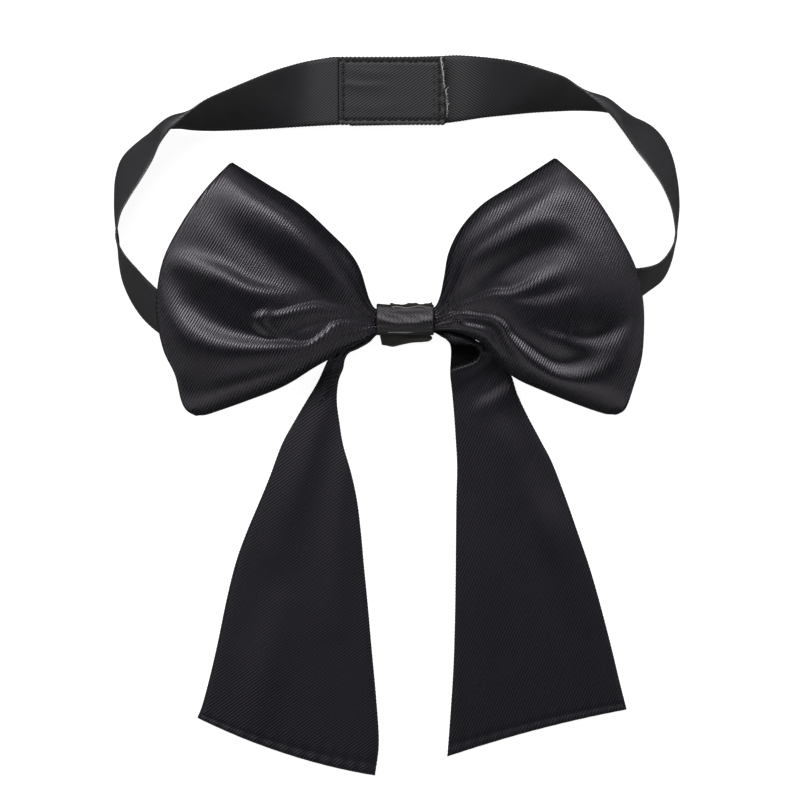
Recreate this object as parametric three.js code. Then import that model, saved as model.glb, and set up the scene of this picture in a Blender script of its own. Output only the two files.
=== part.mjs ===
// Pre-tied satin bow tie with two hanging tails and a hook-and-loop neckband, lying on its back.
// Units are millimetres. +Z points out of the bow's front, +Y towards the neckband closure, +X to the
// right of someone looking at the front. The middle of the knot's flat back is the origin.
import * as THREE from "three";

// ---- driving dimensions -------------------------------------------------------------------------
const CLOTH = 0.8; // one layer of ribbon or doubled satin
const PLY = 0.6; // one ply of a tail
const GAP = 0.3; // air left between pieces that touch
const BAND_WIDTH = 18; // neckband ribbon

const KNOT_LENGTH = 15; // along X
const KNOT_WIDTH = 8.4; // along Y
const KNOT_HEIGHT = 9.6; // along Z
const CORE_LENGTH = 15.6;
const CORE_WIDTH = 5.4;
const TAB_DEPTH = 2.6; // end of the knot strip that shows below the knot

const LOOP_CORNER_HEIGHT = 9; // height of the lower outer corner of a bow loop
const LOOP_ROOT_HEIGHT = 5.5;
const LOOP_ROOT_HALF_GAP = 1.6; // half the distance between the two leaves at the knot
const LOOP_HALF_GAP = 3.2; // and where the loop is fullest
const LOOP_BELLY = 2.4; // how much more the front leaf swells
const PLEAT_HEIGHT = 0.9;
const PLEATS = 2.5;

const TAPE_LENGTH = 23;
const TAPE_WIDTH = 14;
const TAPE = 0.9; // thickness of the hook tape and of the loop tape
const CLOSURE_LEFT = -17.2; // fold line the closure flap peels from
const CLOSURE_RIGHT = 10.6; // free end of the closure flap
const CLOSURE_LOW = 51.4; // lower edge of the closure flap
const THREAD = 0.4;
const STITCH_INSET = 1.3;

// ---- materials ----------------------------------------------------------------------------------
const fabric = (color, roughness) => new THREE.MeshStandardMaterial({ color, roughness, metalness: 0 });
const SATIN = () => fabric(0x17161a, 0.38);
const SATIN_BACK = () => fabric(0x1d1c1d, 0.6);
const RIBBON = () => fabric(0x1a1a19, 0.62);
const TAPE_BLACK = () => fabric(0x101010, 0.95);
const THREAD_BLACK = () => fabric(0x0d0d0e, 0.7);

const group = new THREE.Group();
group.name = "satin_bow_tie";

function add(name, geometry, material) {
  const mesh = new THREE.Mesh(geometry, material);
  mesh.name = name;
  group.add(mesh);
}

// ---- sheet and rod builders ---------------------------------------------------------------------
const clamp01 = (x) => Math.min(1, Math.max(0, x));
const smooth = (a, b, x) => {
  const t = clamp01((x - a) / (b - a));
  return t * t * (3 - 2 * t);
};
const vec = (x, y, z = 0) => new THREE.Vector3(x, y, z);

// A smooth curve through hand-chosen points, read evenly along its length.
function curveThrough(points) {
  const curve = new THREE.CatmullRomCurve3(points.map((p) => vec(...p)), false, "centripetal");
  curve.arcLengthDivisions = 120;
  return (t) => curve.getPointAt(clamp01(t));
}

// The same, read so that equal steps of t pass from one point to the next.
function curveByStation(points) {
  const curve = new THREE.CatmullRomCurve3(points.map((p) => vec(...p)), false, "centripetal");
  return (t) => curve.getPoint(clamp01(t));
}

// A closed sheet of even thickness about the surface at(u, v), with u and v from 0 to 1.
function sheet(at, thickness, along, across) {
  const geometry = new THREE.BoxGeometry(1, 1, 1, along, across, 1);
  const position = geometry.attributes.position;
  const step = 1e-3;
  for (let i = 0; i < position.count; i += 1) {
    const u = position.getX(i) + 0.5;
    const v = position.getY(i) + 0.5;
    const alongU = at(Math.min(1, u + step), v).sub(at(Math.max(0, u - step), v));
    const alongV = at(u, Math.min(1, v + step)).sub(at(u, Math.max(0, v - step)));
    const normal = alongU.cross(alongV).normalize();
    const point = at(u, v).addScaledVector(normal, position.getZ(i) * thickness);
    position.setXYZ(i, point.x, point.y, point.z);
  }
  geometry.computeVertexNormals();
  return geometry;
}

// A flat-lying or leaning stretch of neckband: `low` and `high` are its two edges seen from above, and
// the high edge is lifted until the ribbon between them has its true width. `bulge` bows it sideways.
function bandSurface(stations, { base, flat = () => false }) {
  const low = curveByStation(stations.map(([x, y]) => [x, y]));
  const high = curveByStation(stations.map(([, , x, y]) => [x, y]));
  const bulge = curveByStation(stations.map((s) => [s[4] || 0, s[5] || 0]));
  return (u, v) => {
    const a = low(u);
    const b = high(u);
    const span = Math.hypot(b.x - a.x, b.y - a.y);
    const rise = flat(a.x) ? 0 : Math.sqrt(Math.max(0, BAND_WIDTH ** 2 - span ** 2));
    const side = bulge(u).multiplyScalar(4 * v * (1 - v));
    const point = a.clone().lerp(b, v).add(side);
    point.z = base(a.x, a.y) + rise * v;
    return point;
  };
}

// A straight row of stitches: a thin rod that swells at every stitch.
function stitchRow(from, to, stitches) {
  const rings = stitches * 2;
  const geometry = new THREE.CylinderGeometry(THREAD / 2, THREAD / 2, 1, 6, rings);
  const position = geometry.attributes.position;
  const axis = to.clone().sub(from);
  const turn = new THREE.Quaternion().setFromUnitVectors(vec(0, 1, 0), axis.clone().normalize());
  for (let i = 0; i < position.count; i += 1) {
    const t = position.getY(i) + 0.5;
    const swell = 0.75 + 0.25 * Math.cos(2 * Math.PI * stitches * t);
    const point = vec(position.getX(i) * swell, 0, position.getZ(i) * swell).applyQuaternion(turn);
    point.add(from).addScaledVector(axis, t);
    position.setXYZ(i, point.x, point.y, point.z);
  }
  geometry.computeVertexNormals();
  return geometry;
}

// A ring about the X axis: the space between two rounded rectangles in the YZ plane.
function ringAboutX(length, width, height, bottom, wall, corner) {
  const outline = (inset) => {
    const path = new THREE.Path();
    const y0 = -width / 2 + inset;
    const y1 = width / 2 - inset;
    const z0 = bottom + inset;
    const z1 = bottom + height - inset;
    const r = corner - inset;
    path.moveTo(y0 + r, z0);
    path.lineTo(y1 - r, z0);
    path.absarc(y1 - r, z0 + r, r, -Math.PI / 2, 0);
    path.lineTo(y1, z1 - r);
    path.absarc(y1 - r, z1 - r, r, 0, Math.PI / 2);
    path.lineTo(y0 + r, z1);
    path.absarc(y0 + r, z1 - r, r, Math.PI / 2, Math.PI);
    path.lineTo(y0, z0 + r);
    path.absarc(y0 + r, z0 + r, r, Math.PI, 1.5 * Math.PI);
    return path;
  };
  const shape = new THREE.Shape(outline(0).getPoints(6));
  shape.holes.push(new THREE.Path(outline(wall).getPoints(6)));
  const geometry = new THREE.ExtrudeGeometry(shape, { depth: length, bevelEnabled: false });
  const toX = new THREE.Matrix4().makeBasis(vec(0, 1, 0), vec(0, 0, 1), vec(1, 0, 0));
  return geometry.applyMatrix4(toX).translate(-length / 2, 0, 0);
}

// ---- the knot -----------------------------------------------------------------------------------
// From the table up: back of the wrap, neckband, middle of the tails, middle of the bow, front.
const BAND_Z = CLOTH + GAP + CLOTH / 2;
const TAIL_CORE_Z = BAND_Z + CLOTH + GAP;
const CORE_BOTTOM = TAIL_CORE_Z + CLOTH / 2 + 1.4 * GAP + THREAD;
const CORE_TOP = KNOT_HEIGHT - CLOTH - 2 * GAP - THREAD;

function bowCore() {
  const centre = (CORE_BOTTOM + CORE_TOP) / 2;
  const geometry = new THREE.CylinderGeometry(1, 1, CORE_LENGTH, 20, 8);
  geometry.rotateZ(Math.PI / 2);
  const position = geometry.attributes.position;
  for (let i = 0; i < position.count; i += 1) {
    const y = position.getY(i);
    const z = position.getZ(i);
    const fold = 1 - 0.06 * (1 + Math.cos(5 * Math.atan2(z, y)));
    position.setY(i, (y * fold * CORE_WIDTH) / 2);
    position.setZ(i, centre + (z * fold * (CORE_TOP - CORE_BOTTOM)) / 2);
  }
  geometry.computeVertexNormals();
  return geometry;
}

add("knot_wrap", ringAboutX(KNOT_LENGTH, KNOT_WIDTH, KNOT_HEIGHT, 0, CLOTH, 1.8), SATIN());
const threadRing = ringAboutX(
  THREAD,
  CORE_WIDTH + 2 * (0.15 + THREAD),
  CORE_TOP - CORE_BOTTOM + 2 * (0.12 + THREAD),
  CORE_BOTTOM - 0.12 - THREAD,
  THREAD,
  2.2,
);
add("gather_thread", threadRing, THREAD_BLACK());
add("bow_core", bowCore(), SATIN());

const tabTop = -KNOT_WIDTH / 2 - GAP;
const tab = (u, v) => vec(-6.4 + 13.2 * u, tabTop - TAB_DEPTH * (1 - v) * (1 - 0.12 * u), 1.2);
add("knot_tab", sheet(tab, CLOTH, 8, 3), SATIN_BACK());

// ---- the bow's two loops ------------------------------------------------------------------------
// Edges seen from above: upper and lower edges run from the knot to the outer fold, and `fold` runs
// from the lower outer corner to the upper one.
const LEFT_LOOP = {
  crest: 9.2, // how much higher the middle of the outer fold stands than its lower corner
  upper: [[-8.2, 2.6], [-9.6, 5.2], [-10.6, 8.5], [-12, 13.2], [-14.4, 17.3], [-20, 23], [-27.3, 29.7],
    [-36, 35.2], [-45.1, 40.8]],
  lower: [[-8.2, -3.6], [-11, -6.2], [-17, -8.6], [-24.1, -11.9], [-31.5, -17.3], [-42, -21.5],
    [-54.9, -26]],
  fold: [[-54.9, -26], [-58.5, -19], [-62, -9.5], [-64.6, -2], [-65.2, 5], [-63.6, 14.5], [-58.6, 23.9],
    [-52, 33], [-45.1, 40.8]],
};
const RIGHT_LOOP = {
  crest: 9.8,
  upper: [[8.2, 3], [9.5, 6], [10.5, 11], [11.6, 17.5], [14.5, 23.5], [20, 29.7], [28.6, 35.2],
    [39, 41.9]],
  lower: [[8.2, -2.6], [12.5, -1.6], [17.5, -2.2], [21.5, -4.6], [24.6, -9], [29.4, -15.4], [37, -19],
    [47.4, -23.1], [55.4, -25.7]],
  fold: [[55.4, -25.7], [58.6, -20], [61.4, -12], [62.7, -3], [62.6, 4], [60.6, 12.4], [55.6, 22],
    [48.5, 32.6], [39, 41.9]],
};

// Height across a loop, from its lower edge (0) to its upper one (1), as a share of its crest.
const ACROSS_LOOP = curveThrough([[0, 0.12], [0.05, 0.4], [0.12, 0.64], [0.25, 0.85], [0.45, 0.97],
  [0.68, 1], [0.83, 0.94], [0.93, 0.78], [1, 0.44]]);
function acrossLoop(v) {
  let low = 0;
  let high = 1;
  for (let i = 0; i < 24; i += 1) {
    const middle = (low + high) / 2;
    if (ACROSS_LOOP(middle).x < v) low = middle;
    else high = middle;
  }
  return ACROSS_LOOP(low).y;
}

// One strip: out from the knot as the front leaf, round the outer fold, and back as the rear leaf.
function loopSurface({ crest: crestHeight, upper, lower, fold }) {
  const top = curveThrough(upper);
  const bottom = curveThrough(lower);
  const outer = curveThrough(fold);
  const plan = (u, v) => {
    const ruled = bottom(u).lerp(top(u), v);
    const between = bottom(0).lerp(top(0), v).lerp(outer(v), u);
    const corners = bottom(0).lerp(top(0), v).lerp(bottom(1).lerp(top(1), v), u);
    return ruled.add(between).sub(corners);
  };
  return (s, v) => {
    const turn = Math.PI * s;
    const u = Math.sin(turn);
    const point = plan(u, v);
    const crest = LOOP_CORNER_HEIGHT + crestHeight * acrossLoop(v);
    const middle = LOOP_ROOT_HEIGHT + (crest - LOOP_ROOT_HEIGHT) * Math.sin((Math.PI / 2) * u) ** 1.2;
    const halfGap = LOOP_ROOT_HALF_GAP + (LOOP_HALF_GAP - LOOP_ROOT_HALF_GAP) * smooth(0, 0.6, u);
    const pleat = PLEAT_HEIGHT * Math.cos(2 * Math.PI * PLEATS * v) * (1 - smooth(0.3, 0.8, u));
    const front = Math.max(0, Math.cos(turn));
    const belly = LOOP_BELLY * 16 * u * (1 - u) * v * (1 - v);
    point.z = middle + halfGap * Math.cos(turn) + (pleat + belly) * front;
    return point;
  };
}

const LOOP_ALONG = 26;
const LOOP_ACROSS = 16;
const leftLoop = loopSurface(LEFT_LOOP);
add("left_loop", sheet(leftLoop, CLOTH, LOOP_ALONG, LOOP_ACROSS), SATIN());
add("right_loop", sheet(loopSurface(RIGHT_LOOP), CLOTH, LOOP_ALONG, LOOP_ACROSS), SATIN());

// ---- the tails ----------------------------------------------------------------------------------
const tailCore = (u, v) => vec(-7.8 + 15.6 * u, -2.7 + 5.4 * v, TAIL_CORE_Z);
add("tail_core", sheet(tailCore, CLOTH, 4, 1), SATIN_BACK());

// The left tail leaves the knot gathered into a narrow neck, over the edge of the neckband.
const neckPath = curveThrough([[-9.1, -1.4, TAIL_CORE_Z], [-12.5, -4, TAIL_CORE_Z],
  [-16.6, -8, TAIL_CORE_Z], [-18.8, -10.2, 1.4], [-19.6, -12.3, 0.8]]);
function tailNeck(u, v) {
  const ahead = neckPath(Math.min(1, u + 0.02)).sub(neckPath(Math.max(0, u - 0.02)));
  const sideways = vec(-ahead.y, ahead.x).normalize();
  const halfWidth = 1.7 + 0.9 * smooth(0.7, 1, u);
  return neckPath(u).addScaledVector(sideways, halfWidth * (2 * v - 1));
}
add("left_tail_neck", sheet(tailNeck, CLOTH, 12, 2), SATIN());

// The right tail leaves the knot standing on edge and turns back on itself before it lies down.
const turnPath = curveThrough([[8.1, -1.8], [11, -3.4], [14.5, -4.7], [18.8, -6.2], [21.1, -8.4],
  [19.6, -10.9], [16, -12.2], [12.6, -13]]);
const TURN_LOW = TAIL_CORE_Z - CLOTH / 2;
function tailTurn(u, v) {
  const point = turnPath(u);
  const height = 0.8 + 3 * smooth(0.12, 0.45, u);
  point.z = TURN_LOW * (1 - smooth(0.55, 0.95, u)) + 0.1 + height * v;
  return point;
}
add("right_tail_turn", sheet(tailTurn, CLOTH, 24, 1), SATIN());

// Edges of the flat parts, from the hinge line to the sewn end.
const LEFT_TAIL = {
  left: [[-22.5, -13.1], [-26.2, -21.7], [-31.8, -31.3], [-35.8, -41.6], [-40.5, -53.3], [-44.3, -63.6],
    [-49.8, -86.9], [-54.6, -105.5]],
  right: [[-17, -13.1], [-18, -22], [-16.2, -33.1], [-12.7, -47.4], [-11.1, -63.6], [-8.8, -84.5],
    [-7, -103], [-7.4, -120.8]],
};
const RIGHT_TAIL = {
  left: [[12, -16.2], [12.7, -22], [13.6, -33], [13.5, -49.8], [13.3, -70.5], [13, -86.7],
    [12.2, -102.8], [11, -115.8]],
  right: [[28.6, -16.2], [32.9, -26.2], [39, -37.9], [44.5, -53], [49.6, -68.9], [54, -84.5],
    [57.2, -98], [58.6, -103.4]],
};

function tailSurface({ left, right }, height) {
  const leftEdge = curveThrough(left);
  const rightEdge = curveThrough(right);
  return (u, v) => {
    const point = rightEdge(1 - u).lerp(leftEdge(1 - u), v);
    point.z = height;
    return point;
  };
}

function addTail(side, edges) {
  const backHeight = PLY / 2;
  const frontHeight = backHeight + PLY + GAP;
  add(side + "_tail_back", sheet(tailSurface(edges, backHeight), PLY, 22, 3), SATIN_BACK());
  add(side + "_tail_front", sheet(tailSurface(edges, frontHeight), PLY, 22, 3), SATIN());
  const surface = tailSurface(edges, frontHeight + PLY / 2 + 0.1 + THREAD / 2);
  const row = stitchRow(surface(0.02, 0.03), surface(0.02, 0.97), 16);
  add(side + "_tail_end_stitch", row, THREAD_BLACK());
}

addTail("left", LEFT_TAIL);
addTail("right", RIGHT_TAIL);

// The rest of the right tail, between its turn and its hinge line.
const shoulder = (u, v) => vec(12.2 + 16.3 * u, -15.9 + 1.7 * v - 0.6 * u * v, 0.9);
add("right_tail_shoulder", sheet(shoulder, 1.2, 6, 1), SATIN());

// ---- the neckband -------------------------------------------------------------------------------
// Each station: x, y of the low edge, x, y of the high edge, then the sideways bow as x, y.
const MIDDLE_BAND = [
  [-75.8, 21.0, -75.0, 21.0],
  [-75.4, 16.5, -73.4, 17.6],
  [-74.7, 9.8, -70.2, 13.3],
  [-72.2, 4.2, -66.6, 9.4],
  [-68.5, -0.6, -63.0, 6.6],
  [-63.5, -4.4, -58.5, 6.0],
  [-56.0, -7.2, -52.5, 6.8],
  [-46.0, -8.6, -44.5, 8.2],
  [-34.0, -9.0, -34.0, 9.0],
  [-20.0, -7.6, -20.0, 8.6],
  [-11.0, -3.4, -11.0, 3.8],
  [-7.8, -2.4, -7.8, 2.4],
  [0.0, -2.4, 0.0, 2.4],
  [7.8, -2.4, 7.8, 2.4],
  [11.0, -3.4, 11.0, 3.8],
  [20.0, -7.6, 20.0, 8.6],
  [32.0, -9.0, 32.0, 9.0],
  [44.0, -6.4, 43.0, 10.4],
  [53.0, -1.6, 50.5, 11.6],
  [59.5, 4.0, 57.0, 12.8],
  [64.0, 7.3, 62.5, 13.4],
  [68.0, 10.6, 66.1, 14.6],
  [70.3, 15.4, 68.8, 17.4],
  [71.6, 21.2, 70.5, 21.2],
];
const LEFT_STRAP = [
  [-75.8, 21.3, -75.0, 21.3],
  [-76.5, 25.6, -74.2, 26.8],
  [-76.9, 31.5, -72.2, 30.8],
  [-76.7, 37.5, -69.0, 36.0],
  [-74.9, 42.9, -66.0, 41.1],
  [-70.5, 47.2, -63.9, 45.4],
  [-65.5, 50.0, -61.4, 48.8, -0.6, 1.0],
  [-60.2, 50.6, -59.4, 50.6, -1.2, 2.2],
  [-56.5, 50.3, -56.3, 53.5, -0.6, 1.2],
  [-52.5, 50.2, -52.2, 57.0],
  [-46.0, 50.3, -44.5, 60.7],
  [-36.5, 50.6, -36.0, 64.4],
  [-27.0, 51.0, -27.4, 67.8],
  [-20.0, 51.3, -20.0, 69.25],
  [CLOSURE_LEFT - 2 * GAP, CLOSURE_LOW, CLOSURE_LEFT - 2 * GAP, CLOSURE_LOW + BAND_WIDTH],
];
const RIGHT_STRAP = [
  [71.6, 21.5, 70.5, 21.5],
  [72.3, 26.0, 70.1, 26.5],
  [72.7, 30.5, 69.0, 30.5],
  [72.3, 36.5, 66.8, 35.0],
  [70.9, 43.0, 63.4, 40.0],
  [68.4, 48.2, 60.4, 43.9],
  [64.5, 52.0, 57.0, 48.8],
  [59.0, 53.9, 54.0, 52.4, 0.5, 0.9],
  [52.2, 55.2, 51.2, 55.2, 1.0, 2.2],
  [46.0, 55.4, 46.4, 59.2, 0.5, 1.2],
  [41.0, 55.2, 41.9, 62.7],
  [33.5, 54.8, 36.6, 64.9],
  [27.5, 54.3, 28.9, 67.6],
  [21.0, 53.6, 22.0, 69.2],
  [14.5, 52.6, 14.5, 70.1],
  [8.0, 51.9, 8.0, 69.9],
  [-14.6, CLOSURE_LOW, -14.6, CLOSURE_LOW + BAND_WIDTH],
];

const TABLE_Z = CLOTH / 2;
const TAPE_LOW_Z = CLOTH + GAP + TAPE / 2;
const TAPE_HIGH_Z = TAPE_LOW_Z + TAPE + GAP;
const FLAP_Z = TAPE_HIGH_Z + TAPE / 2 + GAP + CLOTH / 2;

const middleBase = (x) => BAND_Z + (TABLE_Z - BAND_Z) * smooth(11, 26, Math.abs(x));
const middleBand = bandSurface(MIDDLE_BAND, { base: middleBase, flat: (x) => Math.abs(x) < 30 });
add("neckband_middle", sheet(middleBand, CLOTH, 84, 3), RIBBON());

const leftBase = (x, y) => TABLE_Z + (FLAP_Z - TABLE_Z) * smooth(-42, CLOSURE_LEFT, x);
add("neckband_left", sheet(bandSurface(LEFT_STRAP, { base: leftBase }), CLOTH, 60, 4), RIBBON());
const rightStrap = bandSurface(RIGHT_STRAP, { base: () => TABLE_Z, flat: (x) => x < 8 });
add("neckband_right", sheet(rightStrap, CLOTH, 72, 4), RIBBON());

// ---- the closure --------------------------------------------------------------------------------
const closureMiddle = CLOSURE_LOW + BAND_WIDTH / 2;
const tapeMiddle = (CLOSURE_LEFT + CLOSURE_RIGHT) / 2 - 1.3;

const flapLength = CLOSURE_RIGHT - CLOSURE_LEFT;
const flap = new THREE.BoxGeometry(flapLength, BAND_WIDTH, CLOTH);
flap.translate((CLOSURE_LEFT + CLOSURE_RIGHT) / 2, closureMiddle, FLAP_Z);
add("closure_flap", flap, RIBBON());

const hookTape = new THREE.BoxGeometry(TAPE_LENGTH, TAPE_WIDTH, TAPE);
hookTape.translate(tapeMiddle, closureMiddle, TAPE_HIGH_Z);
add("hook_tape", hookTape, TAPE_BLACK());
const loopTape = new THREE.BoxGeometry(TAPE_LENGTH, TAPE_WIDTH, TAPE);
loopTape.translate(tapeMiddle, closureMiddle, TAPE_LOW_Z);
add("loop_tape", loopTape, TAPE_BLACK());

const stitchZ = FLAP_Z + CLOTH / 2 + 0.1 + THREAD / 2;
const rowLow = CLOSURE_LOW + STITCH_INSET;
const rowHigh = CLOSURE_LOW + BAND_WIDTH - STITCH_INSET;
const rowLeft = CLOSURE_LEFT + 0.8;
const rowRight = CLOSURE_RIGHT - 3;
const patch = [
  ["patch_stitch_low", vec(rowLeft + 1, rowLow, stitchZ), vec(rowRight - 1, rowLow, stitchZ), 12],
  ["patch_stitch_high", vec(rowLeft + 1, rowHigh, stitchZ), vec(rowRight - 1, rowHigh, stitchZ), 12],
  ["patch_stitch_left", vec(rowLeft, rowLow, stitchZ), vec(rowLeft, rowHigh, stitchZ), 8],
  ["patch_stitch_right", vec(rowRight, rowLow, stitchZ), vec(rowRight, rowHigh, stitchZ), 8],
  ["patch_stitch_end", vec(rowRight + 1.3, rowLow, stitchZ), vec(rowRight + 1.3, rowHigh, stitchZ), 8],
];
for (const [name, from, to, stitches] of patch) add(name, stitchRow(from, to, stitches), THREAD_BLACK());

export default group;
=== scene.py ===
"""A satin bow tie with tails, lying on its back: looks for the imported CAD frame.

Shapes are written in millimetres in the row frame (+Z out of the bow's front, +Y towards the neckband
closure) and turned into metres when a mesh is made.
"""

import math

import bpy
import numpy as np
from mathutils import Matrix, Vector
from numpy.linalg import norm


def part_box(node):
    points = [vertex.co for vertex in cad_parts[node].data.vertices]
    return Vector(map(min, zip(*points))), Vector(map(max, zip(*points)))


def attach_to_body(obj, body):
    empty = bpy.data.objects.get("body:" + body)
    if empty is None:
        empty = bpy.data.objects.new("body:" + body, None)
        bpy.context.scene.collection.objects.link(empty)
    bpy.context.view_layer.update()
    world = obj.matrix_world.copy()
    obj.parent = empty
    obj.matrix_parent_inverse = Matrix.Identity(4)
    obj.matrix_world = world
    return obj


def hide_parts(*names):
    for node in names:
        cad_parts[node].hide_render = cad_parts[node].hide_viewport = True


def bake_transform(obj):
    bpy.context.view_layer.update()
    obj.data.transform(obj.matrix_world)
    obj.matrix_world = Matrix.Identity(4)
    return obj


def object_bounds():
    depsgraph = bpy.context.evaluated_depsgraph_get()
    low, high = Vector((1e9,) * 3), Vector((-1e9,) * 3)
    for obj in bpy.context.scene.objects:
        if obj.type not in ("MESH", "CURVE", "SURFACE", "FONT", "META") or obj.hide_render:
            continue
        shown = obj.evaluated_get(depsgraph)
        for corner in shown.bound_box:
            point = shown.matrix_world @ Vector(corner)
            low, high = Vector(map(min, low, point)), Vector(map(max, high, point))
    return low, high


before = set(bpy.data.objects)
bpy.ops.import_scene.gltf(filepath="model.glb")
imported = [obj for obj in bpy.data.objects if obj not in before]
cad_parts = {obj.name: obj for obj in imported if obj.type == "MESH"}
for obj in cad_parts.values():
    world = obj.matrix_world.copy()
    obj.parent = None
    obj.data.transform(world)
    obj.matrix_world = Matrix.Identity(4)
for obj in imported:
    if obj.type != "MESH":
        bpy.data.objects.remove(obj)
CAD_LOW, CAD_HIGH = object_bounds()

MM = 0.001
FINE = 1  # mesh density


def box_mm(node):
    """A CAD node's lowest and highest corners in millimetres."""
    low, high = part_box(node)
    return np.array(low) / MM, np.array(high) / MM


def show(thing):
    bpy.context.scene.collection.objects.link(thing)


def attach(piece, node, body):
    """Put a piece in the place of one CAD node, on one body."""
    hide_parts(node)
    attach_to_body(piece, body)


# ---- curves and sheets ----
def smooth(low, high, x):
    """0 up to low and 1 from high on, with a soft rise between them."""
    t = np.clip((np.asarray(x, float) - low) / (high - low), 0, 1)
    return t * t * (3 - 2 * t)


def travel(path):
    """How far along a path each of its points lies."""
    return np.r_[0, np.cumsum(norm(np.diff(path, axis=0), axis=1))]


def hump(x, width):
    """1 where x is 0, fading to 0 on either side."""
    return np.exp(-((x / width) ** 2))


def raise_plan(plan, z):
    """Points from an array of (x, y) and their heights."""
    return np.concatenate([plan, z[..., None]], axis=-1)


def curve(points, by_station=False):
    """A smooth curve through given points, read evenly along its length or from point to point."""
    p = np.array(points, float)
    chord = norm(np.diff(p, axis=0), axis=1)
    knots = np.r_[0, np.cumsum(np.ones(len(chord)) if by_station else np.sqrt(chord))]
    slope = np.gradient(p, knots, axis=0)
    t = np.linspace(0, knots[-1], 80 * len(p))
    i = np.clip(np.searchsorted(knots, t, side="right") - 1, 0, len(p) - 2)
    h = (knots[i + 1] - knots[i])[:, None]
    s = (t - knots[i])[:, None] / h
    dense = (1 + 2 * s) * (1 - s) ** 2 * p[i] + s * (1 - s) ** 2 * h * slope[i]
    dense += s * s * (3 - 2 * s) * p[i + 1] + s * s * (s - 1) * h * slope[i + 1]
    if by_station:
        along = t / knots[-1]
    else:
        along = travel(dense)
        along = along / along[-1]
    return lambda f: np.stack([np.interp(f, along, dense[:, k]) for k in range(p.shape[1])], axis=-1)


def make_mesh(name, vertices, faces, uv, materials, face_materials=None):
    """A smooth-shaded object from vertices in millimetres, with one uv pair for each vertex."""
    mesh = bpy.data.meshes.new(name)
    mesh.from_pydata((np.asarray(vertices) * MM).tolist(), [], [list(map(int, f)) for f in faces])
    layer = mesh.uv_layers.new(name="weave")
    corner = np.empty(len(mesh.loops), np.int32)
    mesh.loops.foreach_get("vertex_index", corner)
    layer.data.foreach_set("uv", np.asarray(uv, np.float32)[corner].ravel())
    for material in materials:
        mesh.materials.append(material)
    if face_materials is not None:
        mesh.polygons.foreach_set("material_index", np.asarray(face_materials, np.int32))
    mesh.polygons.foreach_set("use_smooth", np.ones(len(mesh.polygons), bool))
    mesh.update()
    piece = bpy.data.objects.new(name, mesh)
    show(piece)
    return piece


def surface_normals(grid):
    normal = np.cross(np.gradient(grid, axis=0), np.gradient(grid, axis=1))
    return normal / np.maximum(norm(normal, axis=-1, keepdims=True), 1e-9)


def half_thickness(thickness, inset, edge, least):
    """Half the cloth's thickness at a distance inset from its rim: a share `least` there, rounded off."""
    rounded = np.sqrt(np.clip(1 - (1 - np.clip(inset / edge, 0, 1)) ** 2, 0, 1))
    return thickness / 2 * (least + (1 - least) * rounded)


def face_sides(quads, rim_faces, materials):
    """Material index of each face: the front, then the back, then the rim, which matches the front."""
    return np.r_[np.zeros(len(quads)), np.ones(len(quads)) * (len(materials) - 1), np.zeros(rim_faces)]


def cloth(name, grid, thickness, materials, uv=None, edge=0.45):
    """A closed sheet about grid, an (n, m, 3) array in millimetres. Its edges thin out over `edge`."""
    n, m = grid.shape[:2]
    if uv is None:
        uv = grid[..., :2]
    normal = surface_normals(grid)
    if normal[: n // 4, :, 2].mean() < 0:
        grid, uv, normal = grid[:, ::-1], uv[:, ::-1], -normal[:, ::-1]
    rows, columns = np.arange(n)[:, None], np.arange(m)[None, :]
    across = norm(np.gradient(grid, axis=1), axis=-1)
    along = norm(np.gradient(grid, axis=0), axis=-1)
    from_sides = np.minimum(columns, m - 1 - columns) * across
    from_ends = np.minimum(rows, n - 1 - rows) * along
    half = half_thickness(thickness, np.minimum(from_sides, from_ends), edge, 0.35)
    offset = normal * half[..., None]
    vertices = np.concatenate([(grid + offset).reshape(-1, 3), (grid - offset).reshape(-1, 3)])
    index = np.arange(n * m).reshape(n, m)
    quads = np.stack([index[:-1, :-1], index[1:, :-1], index[1:, 1:], index[:-1, 1:]], -1).reshape(-1, 4)
    ring = np.concatenate([index[:-1, 0], index[-1, :-1], index[:0:-1, -1], index[0, :0:-1]])
    after = np.roll(ring, -1)
    rim = np.stack([ring, ring + n * m, after + n * m, after], -1)
    faces = np.concatenate([quads, quads[:, ::-1] + n * m, rim])
    uv = np.concatenate([uv.reshape(-1, 2)] * 2)
    return make_mesh(name, vertices, faces, uv, materials, face_sides(quads, len(rim), materials))


def shares(count):
    return np.linspace(0, 1, int(count * FINE))


def grid_uv(nu, nv):
    return np.meshgrid(shares(nu), shares(nv), indexing="ij")


NEARNESS = 1.2  # how far along a line its neighbouring places are averaged


def nearest(x, y, line):
    """For every point: the line's values close by, the distance to its left, and the distance past its
    ends. Averaging over neighbouring places keeps all three smooth where the line bends."""
    path = curve(line)(np.linspace(0, 1, 120))
    ahead = np.gradient(path[:, :2], axis=0)
    ahead /= norm(ahead, axis=-1, keepdims=True)
    dx = x[..., None] - path[:, 0]
    dy = y[..., None] - path[:, 1]
    far = dx * dx + dy * dy
    weight = np.exp((far.min(axis=-1, keepdims=True) - far) / NEARNESS**2)
    weight /= weight.sum(axis=-1, keepdims=True)
    aside = np.sum(weight * (ahead[:, 0] * dy - ahead[:, 1] * dx), axis=-1)
    past = np.sum(weight * (ahead[:, 0] * dx + ahead[:, 1] * dy), axis=-1)
    return weight @ path[:, 2:], aside, past


def ridges(x, y, lines):
    """Height added by soft ridges: each line's points are (x, y, height, width left, width right)."""
    total = np.zeros_like(x)
    for line in lines:
        values, aside, past = nearest(x, y, line)
        width = np.where(aside > 0, values[..., 1], values[..., 2])
        total += values[..., 0] * np.exp(-((aside / width) ** 2) - (past / width) ** 2)
    return total


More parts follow.
